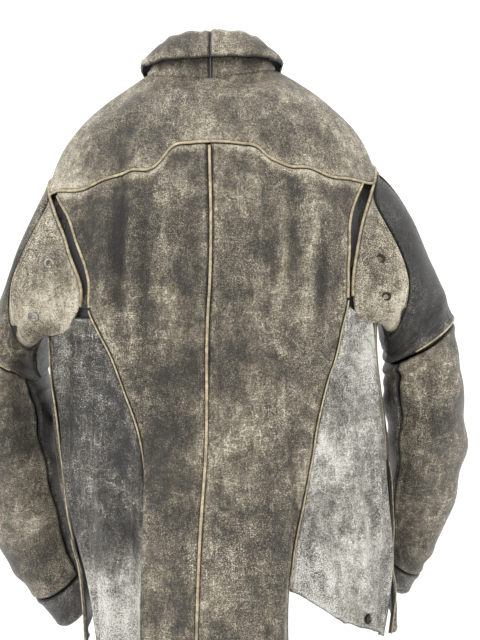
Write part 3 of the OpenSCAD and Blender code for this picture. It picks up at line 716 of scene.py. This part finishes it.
# ------------------------------------------------------------------ back and front of the body
def yoke():
    s, t = np.meshgrid(np.linspace(0, 1, 241), np.linspace(0, 1, 48))
    u = mix(-89.7, 89.7, s)
    h = mix(curve(NECK, np.abs(u)) + 1, curve(YOKE, u) - 0.3, t)
    # the last number paints highlight on the tops of the upright folds and shade in their hollows
    tone = blobs(u, h, 0.58, [(-62, 90, 16, 60, 0.2), (-30, 80, 12, 60, -0.08), (55, 90, 20, 60, 0.08),
                              (0, 70, 12, 30, 0.03), (-45, 140, 10, 22, 0.1), (40, 140, 12, 20, 0.1),
                              (-76, 100, 14, 60, 0.12)], 0.035)
    soft("back_yoke", body(u, h), LEATHER, LEATHER_SKIN, "torso", seams="b", tone=tone, slot="yoke_leather",
         worn=0.6)
    line = np.linspace(-86, 86, 420)
    stitched(("torso", 0), *on_body(line, curve(YOKE, line) - 8))


def back_panels():
    for name, side in SIDES.items():
        def edge(h, side=side):
            return side * (curve(BACK_EDGE[side], h) - 0.1)

        def seam(h, side=side):
            return curve(SEAM, h) + side * 0.1
        ends = (seam, edge) if side > 0 else (edge, seam)
        u, h = between(*ends, lambda u: curve(YOKE, u) + 0.4, flat(BACK_LENGTH), 72, 190)
        # the narrow upright light and dark spots and the fold term are painted highlight and shade of the
        # drape folds
        if side > 0:
            tone = blobs(u, h, 0.5, [(20, 220, 14, 60, 0.02), (24, 400, 10, 80, 0.07),
                                     (10, 600, 8, 130, -0.03),
                                     (8, 760, 10, 60, 0.05), (32, 450, 5, 60, 0.12),
                                     (34, 300, 4, 60, -0.08), (12, 230, 5, 90, 0.05)], 0.045)
        else:
            tone = blobs(u, h, 0.42, [(-20, 220, 14, 60, 0.03), (-10, 480, 12, 120, -0.03),
                                      (-24, 400, 6, 90, 0.07), (-12, 700, 12, 90, -0.01),
                                      (-17, 620, 2, 150, 0.12),
                                      (-8, 250, 5, 120, 0.06), (-26, 420, 3, 70, 0.14),
                                      (-34, 300, 5, 70, -0.06)], 0.045)
        tone += 0.28 * hump(h, curve(YOKE, u) + 6, 6)
        soft(f"{name}_back_panel", body(u, h), LEATHER, LEATHER_SKIN, "torso", seams="lrt", tone=tone)
        line = np.linspace(curve(YOKE, side * 3.0) + 6, BACK_LENGTH - 5, 400)
        stitched(("torso", 0), *on_body(curve(SEAM, line) + side * 1.7, line))
        line = np.linspace(170, 700, 300)
        stitched(("torso", 0), *on_body(edge(line) - side * 1.8, line))


def pleats():
    for name, side in SIDES.items():
        def inner(h, side=side):
            return side * (curve(BACK_EDGE[side], h) - 4)

        def outer(h, side=side):
            return side * curve([(150, 71), (200, 60), (240, 50), (270, 46.5), (300, 43), (345, 47)],
                                h) + side * 6 * smooth(330, 200, h)
        ends = (inner, outer) if side > 0 else (outer, inner)
        u, h = between(*ends, flat(152), flat(322), 30, 60)
        across = np.linspace(0, 1, 31)[None]
        p = body(u, h, -4 - 6 * np.sin(np.pi * across) ** 2 * smooth(318, 280, h))
        # the pleat is darkened as painted shade of its groove
        soft(f"{name}_action_pleat", p, 1.5, SHADE_SKIN, "torso", seams="", tone=0 * u + 0.3,
             slot="dark_leather")


def side_backs():
    for name, side in SIDES.items():
        def inner(h, side=side):
            return side * (curve(BACK_EDGE[side], h) + 0.15)

        def outer(h, side=side):
            return side * curve(SIDE_EDGE[side], h)
        ends = (inner, outer) if side > 0 else (outer, inner)
        u, h = between(*ends, flat(334), lambda u: curve(SIDE_HEM[side], u), 96, 130)
        # the big light spots low on both pieces are a painted sheen, and the dark spots by the right side
        # seam are painted shade
        if side > 0:
            tone = blobs(u, h, 0.68, [(62, 430, 7, 90, 0.25), (40, 470, 14, 90, 0.08),
                                      (42, 700, 26, 70, 0.24),
                                     (66, 580, 6, 70, -0.15), (52, 560, 10, 40, -0.06)])
        else:
            tone = blobs(u, h, 0.32, [(-40, 740, 24, 75, 0.72), (-56, 400, 6, 60, 0.28),
                                      (-46, 560, 8, 60, 0.1)])
        soft(f"{name}_side_back_panel", body(u, h), LEATHER, COOL_SKIN, "torso", tone=tone,
             slot="worn_leather")
        line = np.linspace(350, 690, 260)
        stitched(("torso", 0), *on_body(inner(line) + side * 1.9, line))
        stitched(("torso", 0), *on_body(outer(line) - side * 1.9, line))
        round_hem = np.linspace(16, 56, 150)
        stitched(("torso", 0), *on_body(side * round_hem, curve(SIDE_HEM[side], round_hem) - 8))


def fronts():
    for name, side in SIDES.items():
        low, high = (90.2, FRONT_EDGE) if side > 0 else (-FRONT_EDGE, -90.2)
        s, t = np.meshgrid(np.linspace(0, 1, 97), np.linspace(0, 1, 60))
        u = mix(low, high, s)
        edge = np.interp(np.abs(u), *np.array(FRONT_YOKE_LOW, float).T)
        h = mix(curve(NECK, np.abs(u)) + 1, edge - 0.5, t)
        tone = blobs(np.abs(u), h, 0.54, [(104, 90, 16, 50, 0.12), (150, 130, 16, 40, 0.05)])
        soft(f"{name}_front_yoke", body(u, h), LEATHER, LEATHER_SKIN, "torso", tone=tone, slot="yoke_leather")

        def outer(h, side=side):
            return side * np.where(h < 358, curve(ARM_FRONT, h), curve(VENT_EDGE[side], h))

        def hinge(h, side=side):
            return side * (FRONT_HINGE - 0.2) + 0 * h
        ends = (outer, hinge) if side > 0 else (hinge, outer)
        u, h = between(*ends, flat(YOKE_FRONT + 0.5), flat(FRONT_LENGTH), 72, 150)
        tone = blobs(np.abs(u), h, 0.45, [(72, 400, 9, 60, 0.35 if side > 0 else 0.2),
                                          (70, 700, 10, 80, 0.12)])
        soft(f"{name}_front_side_panel", body(u, h), LEATHER, LEATHER_SKIN, "torso", tone=tone)
        line = np.linspace(365, 780, 260)
        stitched(("torso", 0), *on_body(outer(line) + side * 2, line))

        def inner(h, side=side):
            return side * FRONT_EDGE + 0 * h
        ends = (hinge, inner) if side > 0 else (inner, hinge)
        u, h = between(*ends, flat(YOKE_FRONT + 1.5), flat(FRONT_LENGTH), 72, 150)
        tone = blobs(np.abs(u), h, 0.46, [(172, 500, 5, 260, 0.14), (150, 640, 12, 70, 0.06)])
        soft(f"{name}_front_panel", body(u, h), LEATHER, LEATHER_SKIN, "front", side, tone=tone)
        line = np.linspace(210, 785, 300)
        stitched(("front", side), *on_body(0 * line + side * (FRONT_EDGE - 2.2), line))


def collar():
    for name, side in SIDES.items():
        s, t = np.meshgrid(np.linspace(0, 1, 121), np.linspace(0, 1, 40))
        u = mix(0.03, 172, s) if side > 0 else mix(-172, -0.03, s)
        away = np.stack([sin(u), -cos(u), 0.35 + 0 * u], -1)
        away /= np.linalg.norm(away, axis=-1, keepdims=True)
        wave = 1.1 * np.sin(u * 0.16 + 0.7) * t + 0.8 * np.sin(u * 0.37 + 2 * t) * t
        lift = 3 * np.sin(np.pi * t) + 2 + wave
        p = mix(fold_at(u), leaf_edge(u), t[..., None]) + away * lift[..., None]
        p[..., 2] += 3 * (1 - t) + 1.2 * np.sin(u * 0.3) * (1 - t)
        tone = 0.54 + 0.08 * np.sin(u * 0.07) + 0.22 * hump(t, 0.02, 0.1)
        soft(f"collar_{name}_leaf", p, 3, LEATHER_SKIN, "torso", seams="lrb", tone=tone, worn=0.7,
             slot="leather")
        line = p[33]
        stitched(("torso", 0), line + away[33] * 0.3, away[33])
        u = mix(0.03, 174, s) if side > 0 else mix(-174, -0.03, s)
        away = np.stack([sin(u), -cos(u), 0 * u], -1)
        p = mix(fold_at(u), neck_at(u), 1.06 * t[..., None]) + away * (2.4 * t - 2.5)[..., None]
        p[..., 2] += 0.8
        soft(f"collar_{name}_stand", p, 2, LEATHER_SKIN, "torso", seams="lrb", tone=0 * u + 0.48,
             slot="leather")
        stitched(("torso", 0), p[30] + away[30] * 0.3, away[30])
    s, t = np.meshgrid(np.linspace(0, 1, 81), np.linspace(0, 1, 20))
    u = mix(-58, 58, s)
    p = body(u, mix(curve(NECK, np.abs(u)) + 3, 62, t), -LEATHER - 0.8)
    # the neck facing is darkened as painted shade inside the neck
    soft("neck_facing", p, 1.2, SHADE_SKIN, "torso", tone=0 * u + 0.26, slot="dark_leather")


# ------------------------------------------------------------------ sleeves
def sleeve_grid(side, low, high, k0, k1, n, m):
    """Angles (as on the right sleeve) and places along a sleeve, its columns left to right from outside."""
    s, t = np.meshgrid(np.linspace(0, 1, n + 1), np.linspace(0, 1, m + 1))
    phi = side * (mix(low, high, s) if side > 0 else mix(high, low, s))
    q = side * phi
    return phi, mix(k0(q), k1(q), t)


def gusset_end(side, q):
    return np.where(q < GUSSET_TOP, curve(GUSSET[side], np.clip(q, -82, GUSSET_TOP)), 0)


def sleeves():
    for name, side in SIDES.items():
        phi, k = sleeve_grid(side, -82, GUSSET_TOP, flat(0), lambda q: gusset_end(side, q) - 0.002, 100, 64)
        q = side * phi
        centre = hump(q, -18, 26) * hump(k, 0.09, 0.07)
        notch = hump(q, NOTCH[side], 5) * smooth(0.12, 0.2, k)
        p = sleeve(side, phi, k, 3 * centre + 1.2 * np.sin(q * 0.16 + k * 50) * centre - 7 * notch)
        # darker at the armhole seam and along its top as painted shade, lighter towards its lower edge as a
        # painted sheen
        tone = (0.8 if side < 0 else 0.74) + 0.14 * smooth(0.08, 0.18, k) - 0.14 * smooth(0.12, 0.04, k)
        tone = tone + 0.06 * hump(q, -30, 14)
        tone = tone - 0.25 * hump(k, 0.0, 0.012)
        soft(f"{name}_underarm_gusset", p, LEATHER, LEATHER_SKIN, "sleeve", side, tone=tone, worn=0.7,
             slot="worn_leather")
        row = np.linspace(-76, 40, 300)
        for back in (0.012, 0.026):
            stitched(("sleeve", side), *on_sleeve(side, side * row, gusset_end(side, row) - back, 1.0))

        phi, k = sleeve_grid(side, -82, 150, lambda q: gusset_end(side, q) + 0.001, flat(ELBOW - 0.002), 200,
                             84)
        q = side * phi
        if side > 0:
            tone = blobs(q, k, 0.24, [(95, 0.12, 14, 0.1, 0.4), (80, 0.36, 30, 0.05, 0.15),
                                      (10, 0.38, 40, 0.03, 0.18)])
        else:
            tone = blobs(q, k, 0.4, [(70, 0.15, 16, 0.12, 0.16), (20, 0.3, 30, 0.05, 0.08),
                                     (80, 0.36, 30, 0.04, 0.12)])
        soft(f"{name}_sleeve_top", sleeve(side, phi, k), LEATHER, COOL_SKIN if side > 0 else LEATHER_SKIN,
             "sleeve",
             side, tone=tone)
        row = np.linspace(52, 140, 200)
        stitched(("sleeve", side), *on_sleeve(side, side * row, 0.022 + 0 * row, 0.6))

        # its long edges are tucked under the pieces next to it, so that the shoulder bend can't part them
        phi, k = sleeve_grid(side, 147.5, 280, flat(0), flat(ELBOW - 0.002), 120, 84)
        q = side * phi
        tuck = 1.9 * (smooth(275, 277.2, q) + smooth(153, 150.8, q))
        # the under piece is darkened as painted shade on the side of the sleeve towards the body
        soft(f"{name}_sleeve_under", sleeve(side, phi, k, -tuck), LEATHER, COOL_SKIN, "sleeve", side,
             tone=0 * k + 0.36,
             slot="dark_leather")

        phi, k = sleeve_grid(side, -60, 160, flat(ELBOW + 0.002), flat(CUFF - 0.002), 150, 110)
        q = side * phi
        if side > 0:
            tone = blobs(q, k, 0.44, [(10, 0.46, 30, 0.04, 0.12), (80, 0.7, 30, 0.12, 0.1),
                                      (-30, 0.55, 12, 0.12, 0.28),
                                      (30, 0.86, 30, 0.05, -0.05)])
        else:
            tone = blobs(q, k, 0.52, [(10, 0.46, 30, 0.04, 0.1), (70, 0.72, 34, 0.1, 0.08),
                                      (0, 0.9, 30, 0.04, 0.05)])
        soft(f"{name}_forearm_top", sleeve(side, phi, k), LEATHER, LEATHER_SKIN, "forearm", side, tone=tone)
        row = np.linspace(-52, 150, 300)
        stitched(("forearm", side), *on_sleeve(side, side * row, ELBOW + 0.016 + 0 * row))
        stitched(("forearm", side), *on_sleeve(side, side * row, CUFF - 0.012 + 0 * row))
        along = np.linspace(ELBOW + 0.02, CUFF - 0.02, 240)
        stitched(("forearm", side), *on_sleeve(side, side * -55 + 0 * along, along))

        phi, k = sleeve_grid(side, 160.8, 299.2, flat(ELBOW + 0.002), flat(CUFF - 0.002), 100, 110)
        # the under piece is darkened as painted shade on the side of the forearm towards the body
        soft(f"{name}_forearm_under", sleeve(side, phi, k), LEATHER, COOL_SKIN, "forearm", side,
             tone=0 * k + 0.38,
             slot="dark_leather")

        phi, k = sleeve_grid(side, -140, 219, flat(CUFF + 0.001), flat(1), 180, 18)
        soft(f"{name}_cuff", sleeve(side, phi, k, 0.3), LEATHER, COOL_SKIN, f"{name}_forearm",
             tone=0 * k + 0.42,
             slot="dark_leather")
        row = np.linspace(-70, 200, 300)
        stitched((f"{name}_forearm", 0), *on_sleeve(side, side * row, 0.985 + 0 * row, 0.7))


def linings():
    s, t = np.meshgrid(np.linspace(0, 1, 121), np.linspace(0, 1, 110))
    u = mix(-86, 86, s)
    top = mix(70, 366, smooth(40, 64, np.abs(u)))
    low = mix(BACK_LENGTH - 45, curve(SIDE_HEM[1], np.maximum(u, 10)) - 30, smooth(4, 16, u))
    h = mix(top, low, t)
    soft("back_lining", body(u, h, -LEATHER - 5.2 - 12 * smooth(400, 560, h), 0), CLOTH, LINING, "torso",
         slot="lining")
    for name, side in SIDES.items():
        outer, inner = (lambda h: side * 126.5 + 0 * h), (lambda h: side * 168 + 0 * h)
        ends = (outer, inner) if side > 0 else (inner, outer)
        u, h = between(*ends, flat(206), flat(760), 50, 100)
        soft(f"{name}_front_lining", body(u, h, -LEATHER - 1.6), CLOTH, LINING, "front", side, slot="lining")
        phi, k = sleeve_grid(side, -130, 229, flat(0.1), flat(ELBOW - 0.012), 120, 50)
        soft(f"{name}_sleeve_lining", sleeve(side, phi, k, -LEATHER - 4, 0.7), CLOTH, LINING, "sleeve", side,
             slot="lining")
        phi, k = sleeve_grid(side, -130, 229, flat(ELBOW + 0.012), flat(0.97), 120, 80)
        soft(f"{name}_forearm_lining", sleeve(side, phi, k, -LEATHER - 4, 0.7), CLOTH, LINING, "forearm",
             side,
             slot="lining")


# ------------------------------------------------------------------ trim
VENTS = {1: [(-8, 0.08), (-30, 0.1)], -1: [(-4, 0.07), (-34, 0.11)]}
# radius and height of an eyelet's section, from under the leather out over its rim and back into the hole
EYELET_PROFILE = [(7, -0.6), (7, 0.3), (6.2, 1.1), (5, 1.4), (3.9, 1.1), (3.3, 0.3), (3, -2), (0.05, -2)]
def trim(name, path, out, width, height, part, side=0):
    """A piping that the CAD doesn't have."""
    piece = tube(name, path, out, width, height, PIPING, rough=0.05)
    moves(piece, part, side)
    return piece


def piping(name, *shape):
    """A piping that stands for the CAD node of the same name."""
    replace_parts(trim(name, *shape), name)


def pipings():
    u = np.linspace(-70, 70, 420)
    piping("yoke_piping", *on_body(u, curve(YOKE, u), 0.2), 4, 2.5, "torso")
    h = np.linspace(112, BACK_LENGTH, 420)
    piping("centre_back_piping", *on_body(curve(SEAM, h), h, 0), 4, 2.4, "torso")
    for name, side in SIDES.items():
        h = np.linspace(162, 322, 130)
        piping(f"{name}_pleat_piping", *on_body(side * (curve(BACK_EDGE[side], h) - 0.5), h, 0), 4.2, 2.4,
               "torso")
        h = np.linspace(326, 696 if side > 0 else 798, 300)
        piping(f"{name}_side_back_piping", *on_body(side * curve(BACK_EDGE[side], h), h, 0.2), 2.6, 1.8,
               "torso")
        row = np.linspace(-30, 88, 200)
        piping(f"{name}_elbow_piping", *on_sleeve(side, side * row, ELBOW - 0.008 + 0 * row, 0.2), 2.8, 1.8,
               "sleeve", side)


def armhole_and_side_pipings():
    """The piped seams that the other pieces share: armhole, shoulder and side seams."""
    for name, side in SIDES.items():
        row = np.linspace(-30, 82, 260)
        trim(f"{name}_armhole_piping", *on_sleeve(side, side * row, 0.004 + 0 * row, 1.2), 4.2, 2.6, "torso")
        h = np.linspace(362, 640 if side < 0 else 556, 240)
        trim(f"{name}_side_seam_piping", *on_body(side * curve(SIDE_EDGE[side], h) + side * 0.3, h, 0.4), 3.4,
             2.2, "torso")
        h = np.linspace(640 if side < 0 else 560, 794, 140)
        trim(f"{name}_vent_piping", *on_body(side * curve(VENT_EDGE[side], h) + side * 0.3, h, 0.4), 3, 2.2,
             "torso")
    row = np.linspace(60, 109, 220)
    trim("right_shoulder_piping", *on_sleeve(1, row, mix(0.03, ELBOW - 0.012, (row - 60) / 49), 0.3), 3.4,
         2.4,
         "sleeve", 1)


RING_SIDES = 48


def eyelets():
    """Nickel rings on the left and worn black ones on the right, lying on leather that isn't pierced."""
    turns = np.linspace(0, 2 * math.pi, RING_SIDES + 1)
    for name, side in SIDES.items():
        verts, faces = [], []
        for phi, k in VENTS[side]:
            p, out = (v[0] for v in on_sleeve(side, np.array([side * phi]), np.array([k]),
                                              3.2 if side < 0 else 2.2))
            across = np.cross(out, (0, 0, 1))
            across /= np.linalg.norm(across)
            up = np.cross(across, out)
            for radius, height in EYELET_PROFILE:
                base = len(verts)
                verts += [p + (across * math.cos(a) + up * math.sin(a)) * radius + out
                          * height for a in turns[:-1]]
                if radius != EYELET_PROFILE[0][0] or height != EYELET_PROFILE[0][1]:
                    for i in range(RING_SIDES):
                        j = (i + 1) % RING_SIDES
                        faces.append((base - RING_SIDES + i, base - RING_SIDES + j, base + j, base + i))
        piece = add_mesh(f"{name}_gusset_eyelets", verts, faces, NICKEL if side < 0 else BLACKENED)
        moves(piece, "sleeve", side)
        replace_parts(piece, f"{name}_gusset_eyelets")


def stitching():
    for (part, side), rows in ROWS.items():
        verts, faces = stitch_mesh(rows)
        piece = add_mesh(f"{part}_stitching_{side % 3}", verts, faces, THREAD)
        moves(piece, part, side)


def metal_and_tape():
    """The CAD's own zip, snaps and loop keep their shape and get better materials."""
    for node, made in (("zip_teeth", BRASS), ("front_zip_tape", TAPE), ("upper_zip", BRASS),
                       ("vent_snap", BLACKENED)):
        for name in SIDES:
            dress(frame["nodes"][f"{name}_{node}"], made)
    dress(frame["nodes"]["zip_slider"], BRASS)
    dress(frame["nodes"]["zip_pull"], BRASS)
    dress(frame["nodes"]["hanger_loop"], TAPE)


def dress(node, made):
    node.data.materials.clear()
    node.data.materials.append(made)


# ------------------------------------------------------------------ the room, the lights and the camera
WORLD_STRENGTH = 1.25
FLOOR_REACH, FLOOR_HEIGHT = 30.0, -1.0
LAMPS = (("key", (-0.9, -2.4, 1.3), 1.4, 27), ("fill", (1.6, -2.0, 0.4), 1.8, 6),
         ("top", (0, 0.6, 2.4), 1.6, 8))
LAMP_AIM = Vector((0.02, 0.05, -0.38))
CAMERA_PLACE, CAMERA_LENS, SENSOR_WIDTH = (0.043, -0.745, -0.345), 29.25, 36


def studio():
    world = bpy.data.worlds.new("studio")
    bpy.context.scene.world = world
    world.use_nodes = True
    back = world.node_tree.nodes["Background"]
    back.inputs["Color"].default_value = (1, 1, 1, 1)
    back.inputs["Strength"].default_value = WORLD_STRENGTH
    pale = Graph("pale floor").finish((0.9, 0.9, 0.9, 1), 0.9)
    shader = pale.node_tree.nodes["Principled BSDF"]
    shader.inputs["Emission Color"].default_value = (1, 1, 1, 1)
    shader.inputs["Emission Strength"].default_value = 0.1
    sweep = bpy.data.meshes.new("floor")
    corners = ((-1, -1), (1, -1), (1, 1), (-1, 1))
    sweep.from_pydata([(x * FLOOR_REACH, y * FLOOR_REACH, FLOOR_HEIGHT) for x, y in corners], [],
                      [(0, 1, 2, 3)])
    sweep.materials.append(pale)
    floor_piece = bpy.data.objects.new("floor", sweep)
    bpy.context.scene.collection.objects.link(floor_piece)
    for name, place, size, power in LAMPS:
        lamp = bpy.data.lights.new(name, "AREA")
        lamp.size = size
        lamp.energy = power
        piece = bpy.data.objects.new(name, lamp)
        piece.location = place
        piece.rotation_euler = (LAMP_AIM - Vector(place)).to_track_quat("-Z", "Y").to_euler()
        bpy.context.scene.collection.objects.link(piece)
    lens = bpy.data.cameras.new("camera")
    lens.lens = CAMERA_LENS
    lens.sensor_width = SENSOR_WIDTH
    eye = bpy.data.objects.new("camera", lens)
    eye.location = CAMERA_PLACE
    eye.rotation_euler = (math.pi / 2, 0, 0)
    bpy.context.scene.collection.objects.link(eye)
    bpy.context.scene.camera = eye
    bpy.context.scene.view_settings.view_transform = "Standard"


BUILDERS = (yoke, back_panels, pleats, side_backs, fronts, collar, sleeves, linings, pipings,
            armhole_and_side_pipings, eyelets, stitching, metal_and_tape, studio)
for build in BUILDERS:
    build()
bpy.context.view_layer.update()
